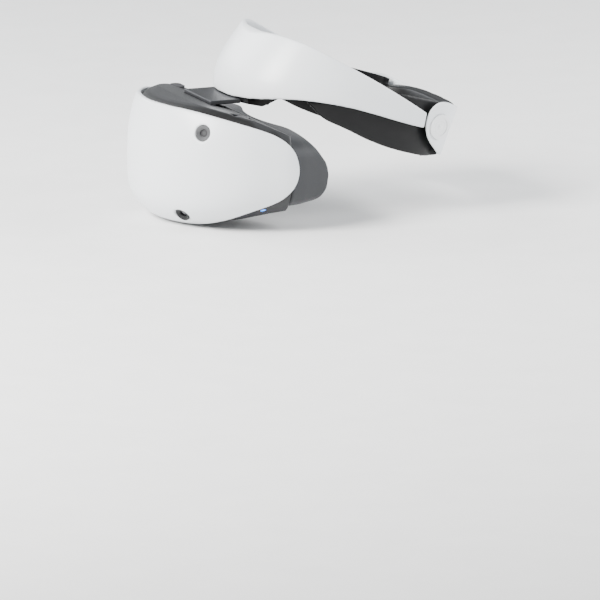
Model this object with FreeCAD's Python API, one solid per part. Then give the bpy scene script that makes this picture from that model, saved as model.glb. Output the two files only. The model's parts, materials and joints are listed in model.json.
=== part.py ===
"""Virtual-reality headset with a hard halo headband, as separate sub-parts in millimetres.

+Z is up, the wearer looks along -Y and +X is the wearer's left. The origin is at the centre of the
bounding box's underside. Three bodies carry nearly everything: the headband (root), the scope, which
slides forward on two rods, and the rear unit, which slides backward to let the band out.
"""
import FreeCAD, Part
import math
import os

V = FreeCAD.Vector

# ---- driving dimensions -------------------------------------------------------------------------
SCOPE_HALF_W = 104.0        # scope, half the width across the white front shell
SCOPE_MID_Y = -36.0         # where the scope is widest
SCOPE_FRONT = 101.5         # from there to the foremost point
SCOPE_REAR = 16.0           # from there to the back of the housing
SCOPE_TOP = 110.0
SCOPE_CENTRE_Z = 52.0
SHELL_T = 2.4               # wall of the moulded covers
GAP = 0.4                   # air between one moulding and the next

RING_HALF_W = 84.0          # headband, half the width outside the white arms
RING_MID_Y = 28.0           # where the headband is widest
RING_FRONT = 90.0
RING_REAR = 105.0
RING_TILT = 0.42            # how much the back leans: mm forward per mm down
RING_TILT_Z = 80.0
ARM_T = 4.0                 # thickness of the white headband shell

IPD = 65.0                  # distance between the two lenses
LENS_X = IPD / 2
EYE_Z = 48.0
LENS_R = 23.0
IPD_TRAVEL = 3.5            # each lens moves this far either way

GEAR_MODULE = 1.0
PINION_TEETH = 10           # pinion under the lens-distance dial, 5 mm pitch radius
DIAL_X, DIAL_Y, DIAL_Z = 71.0, -74.0, 88.6
RACK_Z, RACK_H = 79.2, 4.0
DIAL_R = 8.0

ROD_R = 3.0                 # rods that the scope slides on
ROD_X, ROD_Z = 22.0, 88.5

REAR_DIAL_R, REAR_DIAL_H = 19.0, 5.0
REAR_AT = (0.0, 126.3, 64.0)    # where the rear dial's axis leaves the cap
REAR_AXIS = (0.0, 0.922, -0.387)
REAR_TEETH = 16
CHAMBER = (2.75, 11.0)      # depth of the space for the dial's gears behind the cap
SIDE_GUIDE = 77.2           # the band slides between the arms' flat inner faces this far out
JACK_X, JACK_R, JACK_DEPTH = 46.0, 3.2, -10.4
HUB_R = 10.5                # round cover on each side of the rear cap
FAN_AT = (0, -109, 52)
UNDER_Y = -88.0             # row of buttons on the scope's underside
BUTTON_AT = (-DIAL_X, DIAL_Y)   # scope release, opposite the dial
CUT = 260.0                 # width of the tools that cut side outlines


# ---- helpers ------------------------------------------------------------------------------------
def closed_curve(points):
    """A closed smooth wire through the points."""
    curve = Part.BSplineCurve()
    curve.interpolate(points, PeriodicFlag=True)
    return Part.Wire([curve.toShape()])


def oval_wire(z, half_w, mid_y, front, rear, blunt_front, blunt_rear, steps=32):
    """A closed plan outline at height z: a superellipse, blunter or rounder in front than behind."""
    points = []
    for k in range(steps):
        a = 2 * math.pi * k / steps
        ahead = math.cos(a) > 0
        depth, blunt = (front, blunt_front) if ahead else (rear, blunt_rear)
        c, s = abs(math.cos(a)), abs(math.sin(a))
        reach = (c ** blunt + s ** blunt) ** (-1 / blunt)
        points.append(V(half_w * reach * math.sin(a), mid_y - depth * reach * math.cos(a), z))
    return closed_curve(points)


def loft(wires):
    return Part.makeLoft(wires, True, False)


def side_tool(points, smooth=False):
    """A prism across the whole width with the side outline given as (y, z) points."""
    corners = [V(-CUT / 2, y, z) for y, z in points]
    wire = closed_curve(corners) if smooth else Part.makePolygon(corners + [corners[0]])
    return Part.Face(wire).extrude(V(CUT, 0, 0))


def outline_tool(upper, lower):
    """A prism whose side outline follows two smooth edges, both listed from front to back."""
    edges = []
    for row in (upper, lower):
        curve = Part.BSplineCurve()
        curve.interpolate([V(-CUT / 2, y, z) for y, z in row])
        edges.append(curve.toShape())
    ends = [Part.makeLine(V(-CUT / 2, *upper[k]), V(-CUT / 2, *lower[k]))
            for k in (0, -1) if upper[k] != lower[k]]
    return Part.Face(Part.Wire(Part.__sortEdges__(edges + ends))).extrude(V(CUT, 0, 0))


def box(x0, x1, y0, y1, z0, z1):
    return Part.makeBox(x1 - x0, y1 - y0, z1 - z0, V(x0, y0, z0))


def rod(r, start, end):
    along = V(*end) - V(*start)
    return Part.makeCylinder(r, along.Length, V(*start), along)


def ring(r_out, r_in, start, end):
    return rod(r_out, start, end).cut(rod(r_in, start, end))


def mirrored(shape):
    return shape.mirror(V(0, 0, 0), V(1, 0, 0))


def rounded(shape, r):
    return shape.makeFillet(r, shape.Edges)


# ---- the two guiding forms ----------------------------------------------------------------------
def scope_section(z, inset):
    """Half width, front depth and rear depth of the scope at height z."""
    up = z > SCOPE_CENTRE_Z
    reach, blunt = (68.0, 3.0) if up else (58.0, 2.6)
    share = abs(z - SCOPE_CENTRE_Z) / reach
    half_w = SCOPE_HALF_W * (1 - share ** blunt) ** (1 / blunt)
    low = max(0.0, 30.0 - z)
    nose = 30.0 - math.sqrt(900.0 - low * low) + (7.0 * ((z - 49) / 52.0) ** 2 if z > 49 else 0)
    brow = 10.0 - math.sqrt(max(0.0, 100.0 - max(0.0, z - 100.0) ** 2)) if z > 100 else 0.0
    front = SCOPE_FRONT - nose - brow
    rear = SCOPE_REAR - 0.25 * (nose + brow)
    return half_w - inset, front - inset, rear - inset


def scope_form(inset):
    """The whole scope, this far inside its outer surface."""
    wires = []
    for z in (0, 2.5, 8, 17, 30, 48, 66, 82, 94, 102, 107, SCOPE_TOP):
        share = z / SCOPE_TOP
        half_w, front, rear = scope_section(z, inset)
        height = inset + share * (SCOPE_TOP - 2 * inset)
        wires.append(oval_wire(height, half_w, SCOPE_MID_Y, front, rear, 2.15, 2.15))
    return loft(wires)


def ring_form(inset, z_low=30.0, z_high=158.0):
    """The whole headband's outer form, this far inside its outer surface."""
    wires = []
    steps = 9
    for k in range(steps):
        z = z_low + (z_high - z_low) * k / (steps - 1)
        lean = 24.0 * (max(0.0, z - 112.0) / 41.0) ** 1.5
        tuck = 13.0 * (max(0.0, z - 105.0) / 48.0) ** 1.5
        rear = RING_REAR - RING_TILT * (RING_TILT_Z - min(z, 100.0))
        wires.append(oval_wire(z, RING_HALF_W - tuck - inset, RING_MID_Y,
                               RING_FRONT - lean - inset, rear - inset, 2.2, 3.3))
    return loft(wires)


def scope_skin(outer, inner):
    return scope_form(outer).cut(scope_form(inner))


def ring_skin(outer, inner):
    return ring_form(outer).cut(ring_form(inner))


# ---- side outlines, as (y, z) points ------------------------------------------------------------
WHITE_UPPER = [(-150, 99), (-133, 101.5), (-115, 101), (-95, 96.5), (-67, 88), (-50, 80.5), (-40.5, 72),
               (-35.5, 62), (-34, 52)]
WHITE_LOWER = [(-150, -6), (-118, -4), (-95, 4), (-81, 12), (-70, 18), (-54, 25), (-43, 33),
               (-36.5, 42), (-34, 52)]
TOP_LINE = [(-150, 101), (-137, 106), (-122, 109), (-110, 109), (-97, 105.5), (-83, 100.5), (-69, 94.5),
            (-58, 89.5), (-45, 83.5), (-34, 78)]
BOTTOM_LINE = [(-150, -6), (-112, -2), (-96, 1), (-78, 6.5), (-60, 12.5), (-34, 17)]
RIM_LINE = [(-28, 82), (-14, 67), (-5, 55), (-2, 44), (-4, 33), (-9, 25), (-20, 18.7), (-35, 15)]

BAND_UPPER = [(-64, 112), (-61.5, 122), (-54, 136), (-43, 149), (-33, 154.5), (-22, 153.5), (4, 141),
              (37, 121.8), (61, 106.7), (89, 88)]
BAND_LOWER = [(-64, 102), (-50, 103.5), (-30, 105.5), (-14, 104.4), (17, 98.3), (54.6, 86), (86.5, 75.5)]
REAR_UPPER = [(-13, 103.2), (20, 103), (45, 104.5), (64, 105), (84, 100.3), (102, 95), (150, 81)]
REAR_LOWER = [(-13, 102), (-7, 94.8), (-2, 89.6), (13, 81.3), (31.4, 71.5), (56.7, 60.1), (82.6, 51.7),
              (97, 47.9), (106, 46.8), (150, 46)]
CAP_UPPER = [(88.6, 73.5), (90.4, 85.3), (94.6, 91.2), (100.5, 94.6), (117, 91.3), (150, 84)]
CAP_LOWER = [(88.6, 73.5), (91.7, 64.6), (99, 55.5), (106, 49), (120, 45.8), (150, 44.6)]


def shifted(points, dy, dz):
    return [(y + dy, z + dz) for y, z in points]


# ---- scope: covers ------------------------------------------------------------------------------
PARTING = [(-150, 92), (-100, 88), (-60, 76), (-20, 56)]
REAR_EDGE_Y = -40.0
TOP_SETBACK = 12.0          # how far the top cover's front edge stands behind the white shell


def front_shell():
    return scope_skin(0, SHELL_T).common(outline_tool(WHITE_UPPER, WHITE_LOWER))


def section_wire(y, half_w, low, high, power):
    """A closed outline across the wearer's view at depth y, squarer as power rises."""
    points = []
    mid, half_h = (low + high) / 2, (high - low) / 2
    for k in range(32):
        a = 2 * math.pi * k / 32
        c, s = abs(math.cos(a)), abs(math.sin(a))
        reach = (c ** power + s ** power) ** (-1 / power)
        points.append(V(half_w * reach * math.cos(a), y, mid + half_h * reach * math.sin(a)))
    return closed_curve(points)


def housing_skin():
    outer = scope_form(SHELL_T + GAP).common(outline_tool(TOP_LINE, BOTTOM_LINE))
    inner = scope_form(2 * SHELL_T + GAP).common(
        outline_tool(shifted(TOP_LINE, 0, -SHELL_T), shifted(BOTTOM_LINE, 0, SHELL_T)))
    skin = outer.cut(inner)
    return skin.cut(box(-150, 150, REAR_EDGE_Y, 50, -20, 150))


def above_parting(lift):
    line = shifted(PARTING, 0, lift)
    return side_tool(line + [(-20, 200), (-150, 200)])


def setback_form():
    """Plan outline of the top cover: the scope's own, drawn back in front."""
    wires = [oval_wire(z, SCOPE_HALF_W + 20, SCOPE_MID_Y, SCOPE_FRONT - TOP_SETBACK, 60, 2.0, 2.0)
             for z in (60, 130)]
    return loft(wires)


def top_cover(skin):
    front = box(-150, 150, -150, -60, 80, 130).cut(setback_form())
    return skin.common(above_parting(GAP / 2)).cut(front)


def vent_grille():
    """The crescent in the gap between the white shell and the top cover, with radial slots."""
    plate = scope_form(SHELL_T + GAP + 0.3).common(box(-80, 80, -150, -60, 92.6, 94.6))
    plate = plate.cut(loft([oval_wire(z, SCOPE_HALF_W + 8, SCOPE_MID_Y, SCOPE_FRONT - 20, 60, 2.0, 2.0)
                            for z in (80, 110)]))
    for k in range(-9, 10):
        a = math.radians(5.2 * k)
        slot = box(-1.1, 1.1, -150, -100, 93.4, 97)
        slot.rotate(V(0, SCOPE_MID_Y, 0), V(0, 0, 1), math.degrees(a))
        plate = plate.cut(slot.common(loft([
            oval_wire(z, SCOPE_HALF_W, SCOPE_MID_Y, SCOPE_FRONT - 5.5, 40, 2.15, 2.15)
            for z in (80, 110)])))
    return plate


# ---- scope: cameras -----------------------------------------------------------------------------
CAMERAS = {"upper": ((72, -108, 84), (0.66, -0.72, 0.16)), "lower": ((45, -112, 15), (0.45, -0.70, -0.52))}
CAMERA_R = 6.4


def camera_seat(where):
    """The point where a camera's axis leaves the white shell, and its direction."""
    middle, aim = V(*CAMERAS[where][0]), V(*CAMERAS[where][1])
    aim.normalize()
    ray = Part.makeLine(middle - aim * 25, middle + aim * 25)
    inside = scope_form(0).common(ray)
    out = max((v.Point for v in inside.Vertexes), key=lambda p: (p - middle).dot(aim))
    return out, aim


def camera_pocket(where):
    at, aim = camera_seat(where)
    return Part.makeCylinder(CAMERA_R + 0.25, 40, at - aim * 14, aim)


def camera_bezel(where):
    at, aim = camera_seat(where)
    body = Part.makeCylinder(CAMERA_R, 11, at - aim * 12.2, aim)
    dish = Part.makeCone(3.4, CAMERA_R - 0.7, 1.6, at - aim * 2.8, aim)
    return body.cut(dish).cut(Part.makeCylinder(3.4, 6, at - aim * 8, aim))


def camera_lens(where):
    at, aim = camera_seat(where)
    barrel = Part.makeCylinder(3.3, 4, at - aim * 7.9, aim)
    ball = Part.makeSphere(5.0, at - aim * 7.2)
    return barrel.common(ball)


def camera_module(where):
    at, aim = camera_seat(where)
    return Part.makeCylinder(5.4, 5, at - aim * 17.4, aim)


# ---- scope: insides -----------------------------------------------------------------------------


def chassis():
    plate = box(-66, 66, -104, -101.5, 27, 72)
    for x0, x1 in ((-69, -61), (61, 69)):
        plate = plate.fuse(box(x0, x1, -101.5, -62, 66, 71.6)).fuse(box(x0, x1, -74, -66, 71, 78.6))
        plate = plate.fuse(box(x0, x1, -104, -101.5, 60, 71.6))
    plate = plate.fuse(box(61, 80, -65, -62, 66, 87)).fuse(box(61, 80, -84, -62, 84.4, 87))
    plate = plate.cut(rod(1.52, (-66.5, -70, 75.6), (66.5, -70, 75.6)))
    return plate.cut(rod(2.05, (DIAL_X, DIAL_Y, 80), (DIAL_X, DIAL_Y, 90)))


def lens_rod():
    return rod(1.5, (-66, -70, 75.6), (66, -70, 75.6))


def barrel(side):
    x = side * LENS_X
    body = ring(LENS_R + 2, LENS_R - 0.6, (x, -88, EYE_Z), (x, -44, EYE_Z))
    seat = ring(LENS_R + 1, LENS_R - 0.1, (x, -53, EYE_Z), (x, -43, EYE_Z))
    body = body.cut(seat.common(rod(LENS_R + 0.05, (x, -52.6, EYE_Z), (x, -43, EYE_Z))))
    lug = box(x - 6, x + 6, -74, -66, EYE_Z + 23.5, 79.2)
    body = body.fuse(lug.cut(rod(LENS_R + 1, (x, -90, EYE_Z), (x, -40, EYE_Z))))
    return body.cut(rod(1.56, (x - 10, -70, 75.6), (x + 10, -70, 75.6)))


def eye_lens(side):
    x = side * LENS_X
    disc = rod(LENS_R - 0.7, (x, -58, EYE_Z), (x, -43, EYE_Z))
    front = Part.makeSphere(60, V(x, -44.2 - 60, EYE_Z))
    back = Part.makeSphere(60, V(x, -56.5 + 60, EYE_Z))
    return disc.common(front).common(back)


def display(side):
    x = side * LENS_X
    return box(x - 23, x + 23, -91.2, -88, EYE_Z - 24, EYE_Z + 20)


def tooth(at, heading, height):
    """One straight-sided gear tooth: its pitch point at the given place, pointing along the heading."""
    outline = [V(-1.2, -0.64, 0), V(0.75, -0.34, 0), V(0.75, 0.34, 0), V(-1.2, 0.64, 0)]
    solid = Part.Face(Part.makePolygon(outline + outline[:1])).extrude(V(0, 0, height))
    solid.rotate(V(0, 0, 0), V(0, 0, 1), heading)
    solid.translate(at)
    return solid


def gear(teeth, height):
    """A module-1 pinion standing on the origin, with a tooth pointing each way along Y."""
    r = teeth * GEAR_MODULE / 2
    body = rod(r - 0.95, (0, 0, 0), (0, 0, height))
    for k in range(teeth):
        heading = 90 + 360.0 * k / teeth
        a = math.radians(heading)
        body = body.fuse(tooth(V(r * math.cos(a), r * math.sin(a), 0), heading, height))
    return body


def toothed_bar(side, teeth, x0, x1, first, last, height):
    """A rack that meshes with that pinion on its +Y or -Y side, with a gap between teeth at x = 0."""
    pitch_y = side * teeth * GEAR_MODULE / 2
    y0, y1 = sorted((pitch_y + side * 1.15, pitch_y + side * 3.4))
    bar = box(x0, x1, y0, y1, 0, height)
    for k in range(first, last):
        bar = bar.fuse(tooth(V((k + 0.5) * math.pi * GEAR_MODULE, pitch_y, 0), -90 * side, height))
    return bar


def rack(side):
    """The bar on one lens barrel: the left one passes behind the pinion, the right one in front."""
    x = side * LENS_X
    bar = toothed_bar(side, PINION_TEETH, x - 5 - DIAL_X, 8.5, -3, 3, RACK_H)
    bar.translate(V(DIAL_X, DIAL_Y, RACK_Z))
    b = bar.BoundBox
    return bar.fuse(box(x - 5, x + 5, min(b.YMin + 2, -74) if side > 0 else b.YMin + 1,
                        max(b.YMax, -66) if side > 0 else -66, RACK_Z, RACK_Z + RACK_H))


def dial_shaft():
    body = gear(PINION_TEETH, RACK_H - 0.2).fuse(rod(2.0, (0, 0, 0), (0, 0, DIAL_Z + 1 - RACK_Z - 0.2)))
    body.translate(V(DIAL_X, DIAL_Y, RACK_Z + 0.2))
    return body


def dial_knob():
    knob = rod(DIAL_R, (DIAL_X, DIAL_Y, DIAL_Z), (DIAL_X, DIAL_Y, DIAL_Z + 6))
    for k in range(24):
        a = math.radians(15 * k)
        x, y = DIAL_X + DIAL_R * math.cos(a), DIAL_Y + DIAL_R * math.sin(a)
        knob = knob.cut(rod(0.55, (x, y, DIAL_Z + 0.8), (x, y, DIAL_Z + 6)))
    return knob.cut(rod(2.0, (DIAL_X, DIAL_Y, DIAL_Z - 1), (DIAL_X, DIAL_Y, DIAL_Z + 1)))


def slide_carriage():
    """Block on the chassis that runs along the two rods under the headband."""
    block = box(-30, 30, -94, -86.4, 84.5, 92).fuse(box(-6, 6, -101.4, -94, 74, 92))
    for x in (-ROD_X, ROD_X):
        block = block.cut(rod(ROD_R + 0.06, (x, -100, ROD_Z), (x, -80, ROD_Z)))
    return block


def lens_panel():
    """Dark panel facing the eyes, with a slot for each barrel's travel."""
    panel = scope_form(2 * SHELL_T + GAP + 0.15).common(box(-120, 120, -47, -45, 0, 120))
    panel = panel.common(outline_tool(shifted(TOP_LINE, 0, -SHELL_T - 0.2),
                                      shifted(BOTTOM_LINE, 0, SHELL_T + 0.2)))
    for side in (-1, 1):
        for dx in (-IPD_TRAVEL, IPD_TRAVEL):
            x = side * LENS_X + dx
            panel = panel.cut(rod(LENS_R + 2.5, (x, -60, EYE_Z), (x, -40, EYE_Z)))
        x = side * LENS_X
        panel = panel.cut(box(x - IPD_TRAVEL, x + IPD_TRAVEL, -60, -40, EYE_Z - 25.5, EYE_Z + 25.5))
    return panel


def panel_screws():
    heads = []
    for x, z in ((70, 64), (70, 32), (0, 72.4)):
        for side in ((-1, 1) if x else (1,)):
            head = rod(2.2, (side * x, -45, z), (side * x, -43.8, z))
            cross = box(side * x - 1.3, side * x + 1.3, -44.3, -43, z - 0.3, z + 0.3)
            cross = cross.fuse(box(side * x - 0.3, side * x + 0.3, -44.3, -43, z - 1.3, z + 1.3))
            heads.append(head.cut(cross))
    return Part.makeCompound(heads)


def main_board():
    board = box(-66, 66, -101.3, -99.7, 24, 66)
    chips = ((-38, 46, 18, 18), (0, 50, 22, 16), (36, 44, 14, 20), (-50, 30, 12, 8), (22, 30, 10, 6))
    for x, z, w, h in chips:
        board = board.fuse(box(x - w / 2, x + w / 2, -99.7, -98.0, z - h / 2, z + h / 2))
    return board


def fan_case():
    x, y, z = FAN_AT
    case = box(x - 20, x + 20, y - 5, y + 5, z - 20, z + 20)
    case = case.cut(rod(18, (x, y - 3.6, z), (x, y + 3.6, z)))
    case = case.cut(rod(11, (x, y - 6, z), (x, y, z)))
    case = case.cut(box(x - 12, x + 12, y - 3.6, y + 3.6, z + 10, z + 21))
    return case.fuse(rod(1.6, (x, y + 3.6, z), (x, y, z)))


def fan_rotor():
    x, y, z = FAN_AT
    hub = rod(6, (x, y - 2.8, z), (x, y + 2.8, z)).cut(rod(1.66, (x, y - 1, z), (x, y + 3, z)))
    for k in range(11):
        blade = box(x + 5.5, x + 16.5, y - 2.6, y + 2.6, z - 0.45, z + 0.45)
        blade.rotate(V(x + 5.5, y, z), V(0, 1, 0), 24)
        blade.rotate(V(x, y, z), V(0, 1, 0), 360.0 / 11 * k)
        hub = hub.fuse(blade)
    return hub


# ---- scope: small fittings ----------------------------------------------------------------------


def pill(x, y, half_len, r, z0, z1):
    body = box(x - half_len, x + half_len, y - r, y + r, z0, z1)
    for side in (-1, 1):
        body = body.fuse(rod(r, (x + side * half_len, y, z0), (x + side * half_len, y, z1)))
    return body.removeSplitter()


def scope_button():
    return pill(*BUTTON_AT, 4.5, 4.5, 86.5, 97.0).fuse(pill(*BUTTON_AT, 5.5, 5.8, 85, 86.5))


def under_button(x, r):
    return rod(r, (x, UNDER_Y, 2.2), (x, UNDER_Y, 9)).fuse(rod(r + 1.4, (x, UNDER_Y, 8), (x, UNDER_Y, 9.2)))


def microphone():
    return rod(1.4, (0, UNDER_Y, 2.6), (0, UNDER_Y, 7.5)).cut(rod(0.5, (0, UNDER_Y, 2), (0, UNDER_Y, 5)))


def light_seat():
    start, aim = V(80, -58, 22), V(0.82, -0.12, -0.56)
    aim.normalize()
    hit = scope_form(SHELL_T + GAP).common(Part.makeLine(start, start + aim * 40))
    return max((v.Point for v in hit.Vertexes), key=lambda p: (p - start).dot(aim)), aim


def tracking_light():
    at, aim = light_seat()
    return Part.makeCylinder(1.5, 5.0, at - aim * 4.7, aim)


# ---- light shield -------------------------------------------------------------------------------
# sections as (y, half width, low, high): the flange inside the housing, the body behind it, the hollow
FLANGE = [(-43.6, 97.0, 19.8, 77.6), (-38.6, 97.0, 19.8, 77.6)]
SHIELD = [(-39.6, 100.3, 16.5, 80.5), (-27, 96.5, 16.5, 79.5), (-14, 91.5, 18, 77.5), (2, 85.5, 20, 75)]
HOLLOW = [(-46, 95.0, 21.8, 75.6), (-38, 95.0, 21.6, 75.8), (-27, 93.4, 19.6, 76.6),
          (-14, 88.6, 20.6, 75), (3, 82, 23, 72)]
FLANGE_POWER, SHIELD_POWER = 3.4, 5.0


def sections(rows, power):
    return loft([section_wire(y, half_w, low, high, power) for y, half_w, low, high in rows])


def light_shield():
    skin = sections(FLANGE, FLANGE_POWER).fuse(sections(SHIELD, SHIELD_POWER))
    skin = skin.cut(sections(HOLLOW, FLANGE_POWER))
    rim = outline_tool([(-70, 90), (-40, 84)] + RIM_LINE[:4], [(-70, 10), (-40, 12)] + RIM_LINE[:2:-1])
    face = loft([oval_wire(z, 86, 28, 63, 60, 2.0, 2.0) for z in (0, 100)])
    bridge = ((-17, 5), (-13, 24), (0, 33), (13, 24), (17, 5), (0, -5))
    nose = loft([closed_curve([V(x, y, z) for x, z in bridge]) for y in (-39, 10)])
    return skin.common(rim).cut(face).cut(nose)


# ---- headband -----------------------------------------------------------------------------------
def headband_shell():
    band = ring_skin(0, ARM_T).common(outline_tool(BAND_UPPER, BAND_LOWER))
    return band.cut(box(-SIDE_GUIDE, SIDE_GUIDE, RING_MID_Y, 110, 60, 130))


def forehead_frame():
    plate = ring_skin(7.2, 8.6).common(box(-90, 90, -90, -34, 96, 147))
    for side in (-1, 1):
        post = rod(3.0, (side * 40, -70, 125), (side * 40, -20, 125))
        plate = plate.fuse(post.common(ring_skin(4.15, 8.0)))
    return plate


def forehead_pad():
    pad = ring_skin(8.8, 17.5).common(outline_tool(
        [(-60, 138), (-52, 143), (-44, 150), (-38, 151), (-34, 149)],
        [(-60, 94), (-50, 91.5), (-44, 91), (-38, 92), (-34, 96)]))
    return pad


def scope_bracket():
    """Tongue under the band's front, with an end wall that reaches into the scope and holds the rods."""
    tongue = box(-30, 30, -84, -57, 98, 101.6)
    wall = box(-30, 30, -84, -80, 85.2, 98)
    neck = ring_skin(4.15, 6.9).common(box(-30, 30, -90, -30, 98, 117))
    return rounded(tongue.fuse(wall).removeSplitter(), 1.0).fuse(neck)


def slide_rods():
    return Part.makeCompound([rod(ROD_R, (x, -124.5, ROD_Z), (x, -84, ROD_Z)) for x in (-ROD_X, ROD_X)])


def slide_slot():
    """Opening in the top cover for the bracket's end wall and its travel."""
    return box(-30.5, 30.5, -84.6, -47, 80, 120)


# ---- rear unit ----------------------------------------------------------------------------------


def at_rear(shape):
    """Moves something built along +Z at the origin onto the rear dial's axis."""
    shape.rotate(V(0, 0, 0), V(1, 0, 0), -math.degrees(math.acos(REAR_AXIS[2])))
    shape.translate(V(*REAR_AT))
    return shape


def rear_band():
    band = ring_skin(7.2, 10.2).common(outline_tool(REAR_UPPER, REAR_LOWER))
    return band.cut(box(-60, 60, 90, 150, 30, 120)).fuse(gear_case()).removeSplitter()


def gear_case():
    """Tray behind the wearer's head that the cap closes, with the dial's gears inside."""
    case = ring_skin(CHAMBER[0], 12.4).common(box(-60, 60, 90, 150, 48, 86))
    case = case.cut(ring_skin(2.0, CHAMBER[1]).common(box(-56.5, 56.5, 90, 150, 51, 83)))
    for x in (-JACK_X, JACK_X):
        case = case.cut(at_rear(rod(JACK_R + 0.05, (x, 14, JACK_DEPTH), (x, 30, JACK_DEPTH))))
    return case


def rear_cap():
    cap = ring_skin(0, 2.6).common(outline_tool(CAP_UPPER, CAP_LOWER))
    cap = cap.cut(at_rear(rod(4.57, (0, 0, -20), (0, 0, 20))))
    for side in (-1, 1):
        at, aim = hub_seat(side)
        cap = cap.cut(Part.makeCylinder(HUB_R + 0.2, 20, at - aim * 1.2, aim))
    return cap


def jack(x, bore, length):
    body = rod(JACK_R, (x, 21.5, JACK_DEPTH), (x, 21.5 - length, JACK_DEPTH))
    return at_rear(body.cut(rod(bore, (x, 22, JACK_DEPTH), (x, 23 - length, JACK_DEPTH))))


def rear_pad():
    pad = ring_skin(13.2, 22.0).common(box(-90, 90, 22, 150, 30, 110))
    return pad.common(outline_tool([(18, 96), (40, 100), (62, 99), (85, 93), (110, 85), (150, 74)],
                                   [(18, 86), (31, 76), (57, 64), (83, 55), (106, 50), (150, 49)]))


def hub_seat(side):
    """Point on the cap's side and the outward direction there."""
    start, aim = V(side * 60, 97, 76), V(side * 0.93, 0.35, -0.10)
    aim.normalize()
    hit = ring_form(0).common(Part.makeLine(start, start + aim * 60))
    return max((v.Point for v in hit.Vertexes), key=lambda p: (p - start).dot(aim)), aim


def side_hub(side):
    at, aim = hub_seat(side)
    disc = Part.makeCylinder(HUB_R, 2.9, at - aim * 1.15, aim)
    disc = disc.cut(Part.makeCylinder(7.6, 2, at + aim * 1.3, aim))
    return disc.fuse(Part.makeCylinder(2.6, 1.2, at + aim * 0.3, aim))


def adjust_dial():
    knob = rod(REAR_DIAL_R, (0, 0, 0.4), (0, 0, REAR_DIAL_H)).cut(rod(9.5, (0, 0, 1.7), (0, 0, 9)))
    for k in range(36):
        a = math.radians(10 * k)
        x, y = REAR_DIAL_R * math.cos(a), REAR_DIAL_R * math.sin(a)
        knob = knob.cut(rod(0.75, (x, y, 1.4), (x, y, 9)))
    knob = knob.fuse(rod(4.5, (0, 0, -9.4), (0, 0, 1)))
    return at_rear(knob.cut(rod(3.3, (0, 0, -10), (0, 0, 3))))


def band_pinion():
    body = gear(REAR_TEETH, 2.8).cut(rod(4.5, (0, 0, -1), (0, 0, 5)))
    body.translate(V(0, 0, -9.2))
    return at_rear(body)


def band_rack(side):
    """The left bar runs above the pinion and the right one below; both leave sideways."""
    first, last = (-12, 2) if side > 0 else (-2, 12)
    x0, x1 = (-39, 8.5) if side > 0 else (-8.5, 39)
    bar = toothed_bar(-side, REAR_TEETH, x0, x1, first, last, 2.8)
    bar.translate(V(0, 0, -9.2))
    return at_rear(bar)


def release_button():
    body = rod(9.1, (0, 0, 3.8), (0, 0, 5.6)).fuse(rod(3.0, (0, 0, -7.5), (0, 0, 4)))
    return at_rear(body.cut(ring(6.4, 5.6, (0, 0, 5.2), (0, 0, 6))))


# ---- assembly -----------------------------------------------------------------------------------
def scope_parts():
    """Everything that rides on the scope."""
    shell, skin = front_shell(), housing_skin()
    cover = top_cover(skin)
    housing = skin.cut(above_parting(-GAP / 2))
    cover = cover.cut(slide_slot())
    cover = cover.cut(rod(DIAL_R + 0.6, (DIAL_X, DIAL_Y, 80), (DIAL_X, DIAL_Y, 110)))
    cover = cover.cut(pill(*BUTTON_AT, 4.5, 4.8, 80, 110))
    for x in (-24, 24):
        housing = housing.cut(rod(3.25, (x, UNDER_Y, -5), (x, UNDER_Y, 12)))
    housing = housing.cut(rod(1.5, (0, UNDER_Y, -5), (0, UNDER_Y, 12)))
    at, aim = light_seat()
    housing = housing.cut(Part.makeCylinder(1.6, 20, at - aim * 10, aim))
    parts = {"vent_grille": vent_grille().cut(cover), "chassis": chassis(), "slide_carriage": slide_carriage(),
             "lens_panel": lens_panel(), "panel_screws": panel_screws(), "main_board": main_board(),
             "fan_case": fan_case(), "fan_rotor": fan_rotor(), "lens_rod": lens_rod(),
             "ipd_shaft": dial_shaft(), "ipd_dial": dial_knob(), "scope_button": scope_button(),
             "power_button": under_button(24, 3.0), "function_button": under_button(-24, 3.0),
             "microphone": microphone(), "tracking_light": tracking_light(),
             "light_shield": light_shield()}
    for name, side in (("left", 1), ("right", -1)):
        parts["lens_barrel_" + name] = barrel(side)
        parts["eye_lens_" + name] = eye_lens(side)
        parts["display_" + name] = display(side)
        parts["ipd_rack_" + name] = rack(side)
        for where in CAMERAS:
            bezel, glass, module = camera_bezel(where), camera_lens(where), camera_module(where)
            pocket = camera_pocket(where)
            if side < 0:
                bezel, glass, module, pocket = [mirrored(s) for s in (bezel, glass, module, pocket)]
            shell, housing, cover = [s.cut(pocket) for s in (shell, housing, cover)]
            parts["camera_bezel_%s_%s" % (where, name)] = bezel
            parts["camera_lens_%s_%s" % (where, name)] = glass
            parts["camera_module_%s_%s" % (where, name)] = module
    parts.update({"front_shell": shell, "scope_housing": housing, "top_cover": cover})
    return parts


def band_parts():
    """The headband and the rear unit that slides in it."""
    parts = {"headband_shell": headband_shell(), "forehead_frame": forehead_frame(),
             "forehead_pad": forehead_pad(), "scope_bracket": scope_bracket(),
             "slide_rods": slide_rods(), "rear_band": rear_band(),
             "rear_cap": rear_cap(), "rear_pad": rear_pad(), "adjust_dial": adjust_dial(),
             "band_pinion": band_pinion(), "release_button": release_button(),
             "earphone_jack": jack(JACK_X, 1.75, 12), "cable_gland": jack(-JACK_X, 2.4, 10)}
    for name, side in (("left", 1), ("right", -1)):
        parts["band_rack_" + name] = band_rack(side)
        parts["side_hub_" + name] = side_hub(side)
    return parts


def main():
    os.makedirs("parts", exist_ok=True)
    for make in (scope_parts, band_parts):
        for name, shape in make().items():
            shape.exportStep("parts/%s.step" % name)


main()
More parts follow.
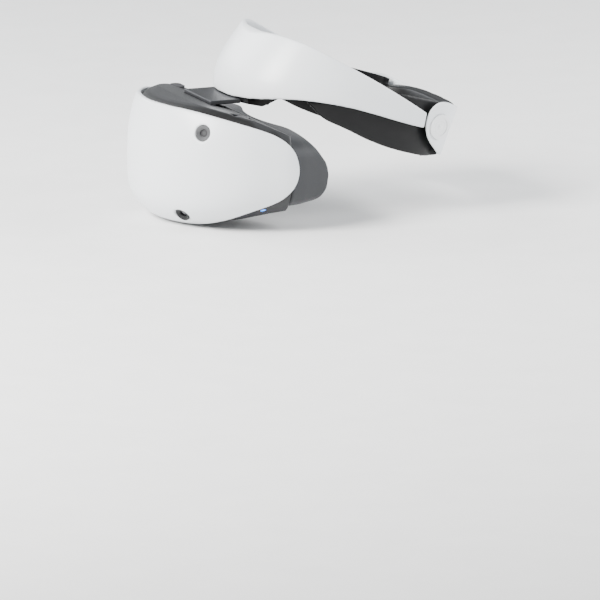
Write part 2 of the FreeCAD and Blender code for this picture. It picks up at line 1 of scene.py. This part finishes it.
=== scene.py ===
"""Visual model of a virtual-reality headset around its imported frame. Metres, +Z up, wearer looks along -Y."""
import bpy
import bmesh
import json
import math
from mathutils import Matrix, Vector


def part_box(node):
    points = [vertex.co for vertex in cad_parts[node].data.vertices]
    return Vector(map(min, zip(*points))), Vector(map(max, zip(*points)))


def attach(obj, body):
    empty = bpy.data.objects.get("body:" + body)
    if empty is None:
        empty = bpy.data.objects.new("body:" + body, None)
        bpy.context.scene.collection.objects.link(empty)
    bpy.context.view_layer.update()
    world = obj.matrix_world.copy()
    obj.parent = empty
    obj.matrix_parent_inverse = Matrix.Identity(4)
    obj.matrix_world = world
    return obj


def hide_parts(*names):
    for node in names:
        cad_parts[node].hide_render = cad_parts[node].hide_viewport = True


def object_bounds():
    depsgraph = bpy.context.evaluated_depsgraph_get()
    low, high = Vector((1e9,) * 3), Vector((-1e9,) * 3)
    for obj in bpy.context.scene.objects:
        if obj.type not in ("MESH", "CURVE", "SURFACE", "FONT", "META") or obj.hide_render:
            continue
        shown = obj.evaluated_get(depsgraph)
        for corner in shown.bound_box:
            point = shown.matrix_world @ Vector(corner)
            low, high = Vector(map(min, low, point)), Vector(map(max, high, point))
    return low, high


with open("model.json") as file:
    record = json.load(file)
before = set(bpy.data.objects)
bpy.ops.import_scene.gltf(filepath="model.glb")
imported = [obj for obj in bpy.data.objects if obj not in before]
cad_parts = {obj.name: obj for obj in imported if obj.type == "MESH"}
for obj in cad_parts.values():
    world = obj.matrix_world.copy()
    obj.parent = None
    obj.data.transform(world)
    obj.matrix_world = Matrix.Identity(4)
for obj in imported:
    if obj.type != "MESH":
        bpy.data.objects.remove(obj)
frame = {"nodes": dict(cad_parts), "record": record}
cad_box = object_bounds()

MM = 0.001
SCENE = bpy.context.scene


# ---- camera, light and floor --------------------------------------------------------------------
CAMERA_AT = (7.272, -2.931, 1.588)
CAMERA_AIM = (0.0175, 0.0006, -0.0753)
LENS_MM = 576.0
FLOOR_GAP = 0.0004


def aimed(obj, at, target):
    obj.location = at
    obj.rotation_euler = (Vector(target) - Vector(at)).to_track_quat("-Z", "Y").to_euler()
    SCENE.collection.objects.link(obj)
    return obj


def soft_light(name, at, size, watts, colour):
    data = bpy.data.lights.new(name, "AREA")
    data.shape = "RECTANGLE"
    data.size, data.size_y = size
    data.energy = watts
    data.color = colour
    return aimed(bpy.data.objects.new(name, data), at, (0.0, 0.0, 0.06))


def set_stage():
    camera = bpy.data.cameras.new("camera")
    camera.lens = LENS_MM
    camera.clip_start = 0.01
    SCENE.camera = aimed(bpy.data.objects.new("camera", camera), CAMERA_AT, CAMERA_AIM)
    soft_light("key", (0.35, -1.45, 1.05), (0.8, 0.8), 96.0, (1.0, 0.985, 0.965))
    soft_light("fill", (-1.2, -0.7, 0.9), (1.0, 1.0), 20.0, (0.94, 0.97, 1.0))
    soft_light("window", (0.9, 1.35, 0.75), (0.8, 1.0), 34.0, (0.96, 0.98, 1.0))
    soft_light("back", (-0.4, 1.4, 1.0), (1.0, 0.7), 20.0, (1.0, 1.0, 1.0))
    world = bpy.data.worlds.new("studio")
    world.use_nodes = True
    world.node_tree.nodes["Background"].inputs["Color"].default_value = (0.90, 0.93, 0.96, 1)
    world.node_tree.nodes["Background"].inputs["Strength"].default_value = 0.62
    SCENE.world = world
    mesh = bpy.data.meshes.new("floor")
    reach = 6.0
    mesh.from_pydata([(-reach, -reach, 0), (reach, -reach, 0), (reach, reach, 0), (-reach, reach, 0)], [],
                     [(0, 1, 2, 3)])
    floor = bpy.data.objects.new("floor", mesh)
    floor.location.z = cad_box[0][2] - FLOOR_GAP
    SCENE.collection.objects.link(floor)
    floor.data.materials.append(speckled("floor_paper", (0.86, 0.86, 0.855), 0.75, 900, 0.02, 0.02))


# ---- materials ----------------------------------------------------------------------------------
NOISE_LOW, NOISE_HIGH = 0.3, 0.7     # the range in which nearly all of a noise texture's values lie


def node_tree(name):
    material = bpy.data.materials.new(name)
    material.use_nodes = True
    tree = material.node_tree
    shader = tree.nodes["Principled BSDF"]
    place = tree.nodes.new("ShaderNodeTexCoord").outputs["Object"]
    return material, tree, shader, place


def mix_colours(tree, factor, dark, light):
    ramp = tree.nodes.new("ShaderNodeValToRGB")
    ramp.color_ramp.elements[0].color = (*dark, 1)
    ramp.color_ramp.elements[1].color = (*light, 1)
    ramp.color_ramp.elements[0].position = NOISE_LOW
    ramp.color_ramp.elements[1].position = NOISE_HIGH
    tree.links.new(factor, ramp.inputs["Fac"])
    return ramp.outputs["Color"]


def noise(tree, place, scale, detail=3.0, roughness=0.55):
    texture = tree.nodes.new("ShaderNodeTexNoise")
    texture.inputs["Scale"].default_value = scale
    texture.inputs["Detail"].default_value = detail
    texture.inputs["Roughness"].default_value = roughness
    tree.links.new(place, texture.inputs["Vector"])
    return texture.outputs["Fac"]


def span(tree, value, low, high):
    """A noise value, spread from low to high."""
    node = tree.nodes.new("ShaderNodeMapRange")
    node.inputs["From Min"].default_value = NOISE_LOW
    node.inputs["From Max"].default_value = NOISE_HIGH
    node.inputs["To Min"].default_value = low
    node.inputs["To Max"].default_value = high
    tree.links.new(value, node.inputs["Value"])
    return node.outputs["Result"]


def bumped(tree, shader, height, distance, strength=1.0):
    node = tree.nodes.new("ShaderNodeBump")
    node.inputs["Distance"].default_value = distance
    node.inputs["Strength"].default_value = strength
    tree.links.new(height, node.inputs["Height"])
    tree.links.new(node.outputs["Normal"], shader.inputs["Normal"])


def speckled(name, colour, rough, grain, variation, depth_mm,
             coat=0.0, metallic=0.0, sheen=0.0, gloss=0.5):
    """Moulded surface: a fine grain in its relief, slow changes in its colour and gloss."""
    material, tree, shader, place = node_tree(name)
    slow = noise(tree, place, 22.0, 4.0)
    fine = noise(tree, place, grain, 2.0)
    dark = [c * (1 - variation) for c in colour]
    light = [min(1.0, c * (1 + variation)) for c in colour]
    tree.links.new(mix_colours(tree, slow, dark, light), shader.inputs["Base Color"])
    tree.links.new(span(tree, fine, rough - 0.05, rough + 0.06), shader.inputs["Roughness"])
    shader.inputs["Metallic"].default_value = metallic
    shader.inputs["Coat Weight"].default_value = coat
    shader.inputs["Coat Roughness"].default_value = 0.25
    shader.inputs["Sheen Weight"].default_value = sheen
    shader.inputs["Specular IOR Level"].default_value = gloss
    bumped(tree, shader, fine, depth_mm * MM)
    return material


# The roof's front wall inside the vent gets painted shade (near-black) where its surface faces ahead.
PAINTED_SHADE_FACING = (0.20, 0.25)     # how far ahead a surface looks where the roof turns to its front wall


def roof_plastic_with_painted_shade(name, above, ahead):
    """Satin cover with painted shade: its front wall, inside the vent, is coloured near-black for the shadow of
    the vent gap, split off by the way the surface faces.
    """
    material = speckled(name, above, 0.36, 2200, 0.10, 0.03, gloss=0.6)
    tree = material.node_tree
    shader = tree.nodes["Principled BSDF"]
    speckle = shader.inputs["Base Color"].links[0].from_socket
    facing = tree.nodes.new("ShaderNodeVectorMath")
    facing.operation = "DOT_PRODUCT"
    facing.inputs[1].default_value = (0.0, -1.0, 0.0)
    tree.links.new(tree.nodes.new("ShaderNodeNewGeometry").outputs["Normal"], facing.inputs[0])
    edge = tree.nodes.new("ShaderNodeMapRange")
    edge.inputs["From Min"].default_value, edge.inputs["From Max"].default_value = PAINTED_SHADE_FACING
    tree.links.new(facing.outputs["Value"], edge.inputs["Value"])
    mix = tree.nodes.new("ShaderNodeMix")
    mix.data_type = "RGBA"
    tree.links.new(edge.outputs["Result"], mix.inputs["Factor"])
    tree.links.new(speckle, mix.inputs["A"])
    # B is the painted shade of the vent gap, laid on the front wall that faces ahead.
    mix.inputs["B"].default_value = (*ahead, 1)
    tree.links.new(mix.outputs["Result"], shader.inputs["Base Color"])
    return material


def glow(name, colour, strength):
    material, tree, shader, place = node_tree(name)
    core = noise(tree, place, 300.0, 1.0)
    dark = [c * 0.85 for c in colour]
    tree.links.new(mix_colours(tree, core, dark, colour), shader.inputs["Base Color"])
    shader.inputs["Emission Color"].default_value = (*colour, 1)
    shader.inputs["Emission Strength"].default_value = strength
    shader.inputs["Roughness"].default_value = 0.25
    return material


def clear(name, colour, rough, transmission):
    material, tree, shader, place = node_tree(name)
    film = noise(tree, place, 60.0, 2.0)
    dark = [c * 0.9 for c in colour]
    tree.links.new(mix_colours(tree, film, dark, colour), shader.inputs["Base Color"])
    tree.links.new(span(tree, film, rough, rough + 0.03), shader.inputs["Roughness"])
    shader.inputs["Transmission Weight"].default_value = transmission
    shader.inputs["IOR"].default_value = 1.49
    shader.inputs["Coat Weight"].default_value = 0.6
    shader.inputs["Coat Roughness"].default_value = 0.04
    return material


def make_materials():
    return {
        "white_shell": speckled("white_shell", (0.74, 0.765, 0.785), 0.36, 2600, 0.012, 0.02, coat=0.12),
        "dark_housing": speckled("dark_housing", (0.013, 0.0135, 0.0155), 0.42, 2200, 0.12, 0.04, gloss=0.45),
        "black_band": speckled("black_band", (0.004, 0.004, 0.0045), 0.38, 1900, 0.12, 0.04, gloss=0.22),
        "vent": speckled("vent", (0.003, 0.003, 0.0035), 0.55, 1800, 0.1, 0.03, gloss=0.15),
        "shield_rubber": speckled("shield_rubber", (0.022, 0.023, 0.026), 0.55, 1500, 0.1, 0.05,
                                  sheen=0.06, gloss=0.35),
        "pad_foam": speckled("pad_foam", (0.005, 0.005, 0.0055), 0.6, 1100, 0.15, 0.10,
                             sheen=0.05, gloss=0.25),
        "black_knob": speckled("black_knob", (0.028, 0.028, 0.031), 0.5, 2100, 0.1, 0.04),
        "rear_dial": speckled("rear_dial", (0.028, 0.028, 0.031), 0.5, 2100, 0.1, 0.04),
        "hub_white": speckled("hub_white", (0.80, 0.81, 0.815), 0.34, 2300, 0.015, 0.02, coat=0.2),
        "barrel_black": speckled("barrel_black", (0.012, 0.012, 0.013), 0.5, 1700, 0.1, 0.03),
        "optic_glass": clear("optic_glass", (0.80, 0.84, 0.90), 0.02, 0.9),
        "camera_glass": clear("camera_glass", (0.008, 0.008, 0.012), 0.04, 0.0),
        # roof cover: dark satin above, with painted near-black shade on its front wall inside the vent
        "roof_cover": roof_plastic_with_painted_shade("roof_cover", (0.020, 0.0205, 0.022), (0.003, 0.003, 0.003)),
        "lens_ring": speckled("lens_ring", (0.008, 0.008, 0.009), 0.3, 2600, 0.05, 0.02, gloss=0.3),
        "bezel_grey": speckled("bezel_grey", (0.075, 0.077, 0.08), 0.38, 2600, 0.05, 0.02, coat=0.1),
        "display_panel": clear("display_panel", (0.006, 0.006, 0.009), 0.08, 0.0),
        "circuit_board": speckled("circuit_board", (0.01, 0.10, 0.045), 0.4, 900, 0.2, 0.05),
        "steel": speckled("steel", (0.55, 0.55, 0.57), 0.25, 3000, 0.04, 0.01, metallic=1.0),
        "frame_grey": speckled("frame_grey", (0.10, 0.103, 0.108), 0.5, 1800, 0.08, 0.04),
        "gear_plastic": speckled("gear_plastic", (0.62, 0.60, 0.54), 0.45, 1500, 0.05, 0.03),
        "port_black": speckled("port_black", (0.012, 0.012, 0.013), 0.4, 1800, 0.1, 0.02),
        "blue_light": glow("blue_light", (0.06, 0.30, 1.0), 3.0),
    }


MATERIALS = make_materials()


def middle_of(node):
    low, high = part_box(node)
    return [(a + b) / 2 for a, b in zip(low, high)]


# Tone of a camera's face against the distance from its middle, in centimetres: pupil, ring, groove, rim.
CAMERA_TONES = ((0.0, 0.003), (0.15, 0.003), (0.17, 0.05), (0.24, 0.06), (0.26, 0.03), (0.42, 0.055))
PER_CENTIMETRE = 100.0
BLUE_CAST = 1.04


def camera_face(name, middle):
    """Grey face of a tracking camera: a small dark pupil in rings about the middle."""
    material, tree, shader, place = node_tree(name)
    away = tree.nodes.new("ShaderNodeVectorMath")
    away.operation = "DISTANCE"
    away.inputs[1].default_value = middle
    tree.links.new(place, away.inputs[0])
    ramp = tree.nodes.new("ShaderNodeValToRGB")
    scaled = tree.nodes.new("ShaderNodeMath")
    scaled.operation = "MULTIPLY"
    scaled.inputs[1].default_value = PER_CENTIMETRE
    tree.links.new(away.outputs["Value"], scaled.inputs[0])
    tree.links.new(scaled.outputs["Value"], ramp.inputs["Fac"])
    while len(ramp.color_ramp.elements) < len(CAMERA_TONES):
        ramp.color_ramp.elements.new(0.5)
    for stop, (at, tone) in zip(ramp.color_ramp.elements, CAMERA_TONES):
        stop.position = at
        stop.color = (tone, tone, tone * BLUE_CAST, 1)
    tree.links.new(ramp.outputs["Color"], shader.inputs["Base Color"])
    shader.inputs["Roughness"].default_value = 0.22
    shader.inputs["Coat Weight"].default_value = 0.5
    shader.inputs["Coat Roughness"].default_value = 0.05
    return material


def dress_frame():
    """Every carried CAD node takes the material of its slot."""
    for part in frame["record"]["subparts"]:
        obj = frame["nodes"][part["node"]]
        obj.data.materials.clear()
        obj.data.materials.append(MATERIALS[part["material_slot"]])
    for side in ("left", "right"):
        eye = frame["nodes"]["camera_lens_upper_" + side].data
        eye.materials[0] = camera_face("camera_face_" + side, middle_of("camera_lens_upper_" + side))
        frame["nodes"]["camera_bezel_lower_" + side].data.materials[0] = MATERIALS["lens_ring"]


# ---- the guiding forms, as in the CAD, in millimetres -------------------------------------------
RING_HALF_W = 84.0          # headband, half the width outside the white arms
RING_MID_Y = 28.0           # where the headband is widest
RING_FRONT = 90.0
RING_REAR = 105.0
RING_TILT = 0.42            # how much the back leans: mm forward per mm down
RING_TILT_Z, RING_TILT_TOP = 80.0, 100.0
RING_BLUNT_FRONT, RING_BLUNT_REAR = 2.2, 3.3
BROW_LEAN = (24.0, 112.0, 41.0)     # how far the crown leans back: amount, from this height, over this rise
CROWN_TUCK = (13.0, 105.0, 48.0)    # how far the crown draws in at its sides, in the same terms


def between(points, at):
    """Straight-line reading of a table of (position, value) pairs."""
    points = sorted(points)
    if at <= points[0][0]:
        return points[0][1]
    for (a, va), (b, vb) in zip(points, points[1:]):
        if at <= b:
            return va + (vb - va) * (at - a) / (b - a)
    return points[-1][1]


def drawn_in(z, amount, from_z, rise):
    return amount * (max(0.0, z - from_z) / rise) ** 1.5


def ring_size(z, inset):
    """Half width, front depth and rear depth of the headband at height z."""
    half_w = RING_HALF_W - drawn_in(z, *CROWN_TUCK)
    front = RING_FRONT - drawn_in(z, *BROW_LEAN)
    rear = RING_REAR - RING_TILT * (RING_TILT_Z - min(z, RING_TILT_TOP))
    return half_w - inset, front - inset, rear - inset


def ring_point(angle, z, inset):
    """A point of the headband; the angle is 0 in front and grows towards the wearer's left."""
    half_w, front, rear = ring_size(z, inset)
    ahead = math.cos(angle) > 0
    depth, blunt = (front, RING_BLUNT_FRONT) if ahead else (rear, RING_BLUNT_REAR)
    c, s = abs(math.cos(angle)), abs(math.sin(angle))
    reach = (c ** blunt + s ** blunt) ** (-1 / blunt)
    return Vector((half_w * reach * math.sin(angle), RING_MID_Y - depth * reach * math.cos(angle), z)) * MM


def new_piece(name, vertices, faces, slot_name, body):
    mesh = bpy.data.meshes.new(name)
    mesh.from_pydata([tuple(v) for v in vertices], [], faces)
    mesh.validate()
    return register(name, mesh, slot_name, body)


def register(name, mesh, slot_name, body):
    obj = bpy.data.objects.new(name, mesh)
    SCENE.collection.objects.link(obj)
    mesh.materials.clear()
    mesh.materials.append(MATERIALS[slot_name])
    mesh.polygons.foreach_set("use_smooth", [True] * len(mesh.polygons))
    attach(obj, body)
    return obj


def modified(obj, kind, **settings):
    """The object with one modifier's result applied to its mesh."""
    modifier = obj.modifiers.new(kind.lower(), kind)
    for key, value in settings.items():
        setattr(modifier, key, value)
    bpy.context.view_layer.update()
    done = bpy.data.meshes.new_from_object(obj.evaluated_get(bpy.context.evaluated_depsgraph_get()))
    obj.modifiers.clear()
    old, obj.data = obj.data, done
    bpy.data.meshes.remove(old)
    return obj


# ---- pads ---------------------------------------------------------------------------------------
PAD_VOXEL = 0.0042
PAD_PRESSURE = 4.0
PAD_FRAMES = 20
PAD_CAP = 0.0014            # the furthest that puffing up may move a point
PAD_MARGIN = 1.6            # how much smaller than its space a pad starts, in millimetres
CHANNEL_PITCH = 6.0         # from one sewn channel to the next, in millimetres
CHANNEL_BETWEEN = (50, 150)
CHANNEL_DEPTH, CHANNEL_WIDTH = 0.0008, 0.0015


def inflated(obj, cap):
    """The closed mesh puffed up as cloth, no point moving further than the cap."""
    modified(obj, "REMESH", mode="VOXEL", voxel_size=PAD_VOXEL)
    rest = [v.co.copy() for v in obj.data.vertices]
    cloth = obj.modifiers.new("cloth", "CLOTH")
    cloth.settings.use_pressure = True
    cloth.settings.uniform_pressure_force = PAD_PRESSURE
    cloth.settings.effector_weights.gravity = 0.0
    cloth.settings.quality = 5
    for step in range(PAD_FRAMES):
        SCENE.frame_set(step + 1)
    done = bpy.data.meshes.new_from_object(obj.evaluated_get(bpy.context.evaluated_depsgraph_get()))
    obj.modifiers.clear()
    obj.data = done
    SCENE.frame_set(1)
    for vertex, start in zip(obj.data.vertices, rest):
        move = vertex.co - start
        if move.length > cap:
            vertex.co = start + move * (cap / move.length)
    return modified(obj, "SUBSURF", levels=1, render_levels=1)


def pad_body(angles, edges, insets, margin):
    """A curved slab between two depths of the ring; edges(angle) gives its low and high z in mm."""
    vertices, faces = [], []
    across, up = len(angles), 9
    near, far = insets[0] + margin, insets[1] - margin
    loop = ([(near, k / (up - 1)) for k in range(up)]
            + [(far, 1 - k / (up - 1)) for k in range(up)])
    for angle in angles:
        low, high = edges(angle)
        for inset, share in loop:
            z = low + margin + (high - low - 2 * margin) * share
            vertices.append(ring_point(angle, z, inset))
    n = len(loop)
    for i in range(across - 1):
        for k in range(n):
            a, b = i * n + k, i * n + (k + 1) % n
            faces.append((a, b, b + n, a + n))
    faces.append(tuple(range(n))[::-1])
    faces.append(tuple((across - 1) * n + k for k in range(n)))
    return vertices, faces


def sewn(obj, seams, depth, width):
    """Presses narrow channels into the mesh: seams(co) is the distance to the nearest one."""
    normals = [v.normal.copy() for v in obj.data.vertices]
    for vertex, normal in zip(obj.data.vertices, normals):
        reach = seams(vertex.co)
        if reach < width:
            vertex.co -= normal * depth * (0.5 + 0.5 * math.cos(math.pi * reach / width))
    return obj


def spaced(first, last, count):
    return [first + (last - first) * k / (count - 1) for k in range(count)]


def ribs(spacing, low, high):
    """Distance in metres from a point to the nearest of the level grooves between two heights."""
    def reach(co):
        z = co.z / MM
        if not low < z < high:
            return 1.0
        return abs((z + spacing / 2) % spacing - spacing / 2) * MM
    return reach


# Edges of the pads: the forehead pad's by angle in degrees, the rear pad's by y; heights in millimetres.
FOREHEAD_LOW = [(0, 91.5), (20, 91.5), (30, 92.0), (36, 95.0), (40, 100.0)]
FOREHEAD_HIGH = [(0, 149.0), (20, 148.0), (34, 144.0), (40, 138.0)]
REAR_PAD_HIGH = [(18, 89), (40, 91), (62, 89), (85, 83.5), (110, 78), (150, 70)]
REAR_PAD_LOW = [(18, 88), (31, 77), (57, 65), (83, 56), (106, 51), (150, 50)]


def forehead_edges(angle):
    degrees = abs(math.degrees(angle))
    return between(FOREHEAD_LOW, degrees), between(FOREHEAD_HIGH, degrees)


def rear_edges(angle):
    y = ring_point(angle, 74.0, 17.0).y / MM
    return between(REAR_PAD_LOW, y), between(REAR_PAD_HIGH, y)


def make_pads():
    for name, node, body, ends, count, edges, insets in (
            ("forehead_cushion", "forehead_pad", "headband", (-39, 39), 41, forehead_edges, (9.0, 17.4)),
            ("rear_cushion", "rear_pad", "rear_unit", (87, 273), 75, rear_edges, (13.4, 21.9))):
        angles = [math.radians(a) for a in spaced(*ends, count)]
        vertices, faces = pad_body(angles, edges, insets, PAD_MARGIN)
        pad = new_piece(name, vertices, faces, "pad_foam", body)
        inflated(pad, PAD_CAP)
        modified(pad, "SMOOTH", factor=0.5, iterations=6)
        modified(pad, "SUBSURF", levels=1, render_levels=1)
        sewn(pad, ribs(CHANNEL_PITCH, *CHANNEL_BETWEEN), CHANNEL_DEPTH, CHANNEL_WIDTH)
        finished(pad, "pad_foam")
        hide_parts(node)


def finished(obj, slot_name, sharp_degrees=None):
    obj.data.materials.clear()
    obj.data.materials.append(MATERIALS[slot_name])
    obj.data.polygons.foreach_set("use_smooth", [True] * len(obj.data.polygons))
    if sharp_degrees:
        obj.data.set_sharp_from_angle(angle=math.radians(sharp_degrees))
    obj.data.update()


# ---- light shield -------------------------------------------------------------------------------
# The shield's sections, front to back: y, half width, lowest z, highest z.
SHIELD = [(-39.6, 100.3, 16.5, 80.5), (-27, 96.5, 16.5, 79.5), (-14, 91.5, 18, 77.5), (2, 85.5, 20, 75)]
SHIELD_FRONT = -39.5
SHIELD_POWER = 5.0
SHIELD_WALL = 1.9
INNER_INSET, FLANGE_STEP = 1.95, 4.2
FLANGE_FRONT, FLANGE_INSET = -43.4, 4.3
# How far back the rim may reach at each height, seen from the side: (z, y).
RIM_SIDE = [(10, -48), (15, -35), (18.7, -20), (25, -9), (33, -4), (38, -3), (44, -2), (50, -3), (55, -5),
            (67, -14), (82, -28), (90, -36)]


RIM_START_Y = -12.0         # where the search for the rim's depth starts
RIM_SOFT, RIM_BACK_OFF = 1.5, 0.6
FACE_HALF_W, FACE_DEPTH, FACE_CLEAR = 86.0, 63.0, 0.4
NOSE_TOP_Z, NOSE_Y, NOSE_HALF_W, NOSE_SLOPE = 40, -39.4, 15.0, 2.4


def shield_point(turn, y, inset):
    """A point of the shield's section at depth y, with all its sizes read from the table."""
    half_w, low, high = [between([(row[0], row[k]) for row in SHIELD], y) for k in (1, 2, 3)]
    mid, half_h = (low + high) / 2, (high - low) / 2 - inset
    c, s = abs(math.cos(turn)), abs(math.sin(turn))
    reach = (c ** SHIELD_POWER + s ** SHIELD_POWER) ** (-1 / SHIELD_POWER)
    return Vector(((half_w - inset) * reach * math.cos(turn), y, mid + half_h * reach * math.sin(turn)))


def soft_least(values, width):
    """The least of the values, with a rounded change-over."""
    low = min(values)
    return low - width * math.log(sum(math.exp((low - v) / width) for v in values)) + width * 0.3


def rim_depth(turn):
    """How far back the rim reaches here: less over the nose and brow, most at the temples."""
    y = RIM_START_Y
    for _ in range(8):
        p = shield_point(turn, y, 1.0)
        face = RING_MID_Y - FACE_DEPTH * math.sqrt(max(0.0, 1 - (p.x / FACE_HALF_W) ** 2))
        choices = [between(RIM_SIDE, p.z), face - FACE_CLEAR]
        if p.z < NOSE_TOP_Z:
            choices.append(NOSE_Y + NOSE_SLOPE * max(0.0, abs(p.x) - NOSE_HALF_W))
        y = 0.5 * y + 0.5 * (soft_least(choices, RIM_SOFT) - RIM_BACK_OFF)
    return y


def make_shield():
    """A moulded shroud in one closed skin: seat flange, faintly rippled wall, rolled rim and inner wall."""
    vertices, faces = [], []
    around, along = 192, 14
    for k in range(around):
        turn = 2 * math.pi * k / around
        back = rim_depth(turn)
        section = [(FLANGE_FRONT, FLANGE_INSET), (SHIELD_FRONT - 0.4, FLANGE_INSET)]
        for i in range(along + 1):
            share = i / along
            y = SHIELD_FRONT + (back - SHIELD_FRONT) * share
            section.append((y, 0.05 + 0.06 * math.sin(math.pi * 5 * share) ** 2 * (share > 0.15)))
        section += [(back + 0.45, 0.6), (back + 0.6, 1.0), (back + 0.45, 1.4)]
        for i in range(along + 1):
            share = 1 - i / along
            inset = INNER_INSET + FLANGE_STEP * (share == 0)
            section.append((SHIELD_FRONT + (back - SHIELD_FRONT) * share, inset))
        section.append((FLANGE_FRONT, FLANGE_INSET + SHIELD_WALL))
        for y, inset in section:
            vertices.append(shield_point(turn, y, inset) * MM)
    n = len(section)
    for k in range(around):
        after = (k + 1) % around
        for i in range(n):
            j = (i + 1) % n
            faces.append((k * n + i, after * n + i, after * n + j, k * n + j))
    shroud = new_piece("eye_shroud", vertices, faces, "shield_rubber", "shield")
    face_outwards(shroud)
    modified(shroud, "SUBSURF", levels=1, render_levels=1)
    finished(shroud, "shield_rubber", 50)
    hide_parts("light_shield")


def face_outwards(obj):
    mesh = bmesh.new()
    mesh.from_mesh(obj.data)
    bmesh.ops.recalc_face_normals(mesh, faces=mesh.faces)
    mesh.to_mesh(obj.data)
    mesh.free()


# ---- moulded covers -----------------------------------------------------------------------------
def refined(node, name, slot_name, body, voxel_mm, rounds):
    """The node's own shape with its edges rounded as a moulding's are."""
    source = frame["nodes"][node]
    piece = register(name, source.data.copy(), slot_name, body)
    modified(piece, "REMESH", mode="VOXEL", voxel_size=voxel_mm * MM)
    modified(piece, "SMOOTH", factor=0.5, iterations=rounds)
    finished(piece, slot_name)
    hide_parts(node)
    return piece


ROOF_KNEE_Z = 0.094      # above this height the roof's crown is pressed towards it
ROOF_PRESS = 0.68
BROW_CORNER_Z = 94.0     # the brow frame's lower edge, which climbs from BROW_CORNER_Y back, in millimetres
BROW_CORNER_Y = -46.0
BROW_CORNER_CLIMB = 0.9
BROW_TRIM = 0.1

def make_covers():
    refined("front_shell", "front_cover", "white_shell", "scope", 0.8, 14)
    refined("headband_shell", "halo_cover", "white_shell", "headband", 0.8, 14)
    refined("rear_cap", "rear_cover", "white_shell", "rear_unit", 0.6, 10)
    roof = refined("top_cover", "roof_cover", "dark_housing", "scope", 0.7, 8)
    for vertex in roof.data.vertices:
        over = vertex.co.z - ROOF_KNEE_Z
        if over > 0:
            vertex.co.z = ROOF_KNEE_Z + over * ROOF_PRESS
    # the roof's material paints shade on its front wall inside the vent
    roof.data.materials[0] = MATERIALS["roof_cover"]
    refined("scope_housing", "scope_body", "dark_housing", "scope", 0.8, 8)
    refined("rear_band", "rear_frame", "black_band", "rear_unit", 0.8, 10)
    brow = refined("forehead_frame", "brow_frame", "black_band", "headband", 0.7, 6)
    for vertex in brow.data.vertices:
        corner = MM * (BROW_CORNER_Z + BROW_CORNER_CLIMB * max(0.0, vertex.co.y / MM - BROW_CORNER_Y))
        if vertex.co.z < corner:
            vertex.co.z = corner + (vertex.co.z - corner) * BROW_TRIM


# ---- small details ------------------------------------------------------------------------------
# A hub boss's profile: how far it stands out, in millimetres, at each radius; its middle comes first.
HUB_RISE = ((0.0, 1.5), (2.2, 1.45), (3.0, 0.9), (4.2, 0.7), (4.8, 1.1), (5.8, 1.2), (6.4, 0.9), (6.9, -0.4))


def make_hub_bosses():
    """A turned boss of plain rings in the recess of each side hub."""
    for name, side in (("left", 1), ("right", -1)):
        aim = Vector((side * 0.93, 0.35, -0.10)).normalized()
        middle = Vector(middle_of("side_hub_" + name))
        across = aim.orthogonal().normalized()
        beside = aim.cross(across)
        vertices, faces, around = [], [], 64
        for radius, rise in HUB_RISE[1:]:
            for k in range(around):
                a = 2 * math.pi * k / around
                spoke = across * math.cos(a) + beside * math.sin(a)
                vertices.append(middle + spoke * radius * MM + aim * rise * MM)
        vertices.append(middle + aim * HUB_RISE[0][1] * MM)
        top = len(vertices) - 1
        for row in range(len(HUB_RISE) - 2):
            for k in range(around):
                a, b = row * around + k, row * around + (k + 1) % around
                faces.append((a, b, b + around, a + around))
        faces += [(top, k, (k + 1) % around) for k in range(around)]
        last = (len(HUB_RISE) - 2) * around
        faces.append(tuple(last + k for k in range(around)))
        boss = new_piece("hub_boss_" + name, vertices, faces, "hub_white", "rear_unit")
        face_outwards(boss)
        finished(boss, "hub_white", 40)


LIGHT_HALF = (2.6, 4.0, 1.4)
LIGHT_ALONG = Vector((0.0, 0.966, 0.26))


def make_light_bar():
    """The tracking light's window: a short bar of blue along the housing's lower edge."""
    middle = Vector(middle_of("tracking_light"))
    mesh = bmesh.new()
    bmesh.ops.create_uvsphere(mesh, u_segments=32, v_segments=16, radius=1.0)
    data = bpy.data.meshes.new("light_bar")
    mesh.to_mesh(data)
    mesh.free()
    turn = LIGHT_ALONG.to_track_quat("Y", "Z").to_matrix()
    for vertex in data.vertices:
        vertex.co = middle + turn @ (vertex.co * Vector(LIGHT_HALF) * MM)
    bar = register("light_bar", data, "blue_light", "scope")
    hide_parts("tracking_light")


set_stage()
dress_frame()
make_hub_bosses()
make_light_bar()
make_pads()
make_shield()
make_covers()
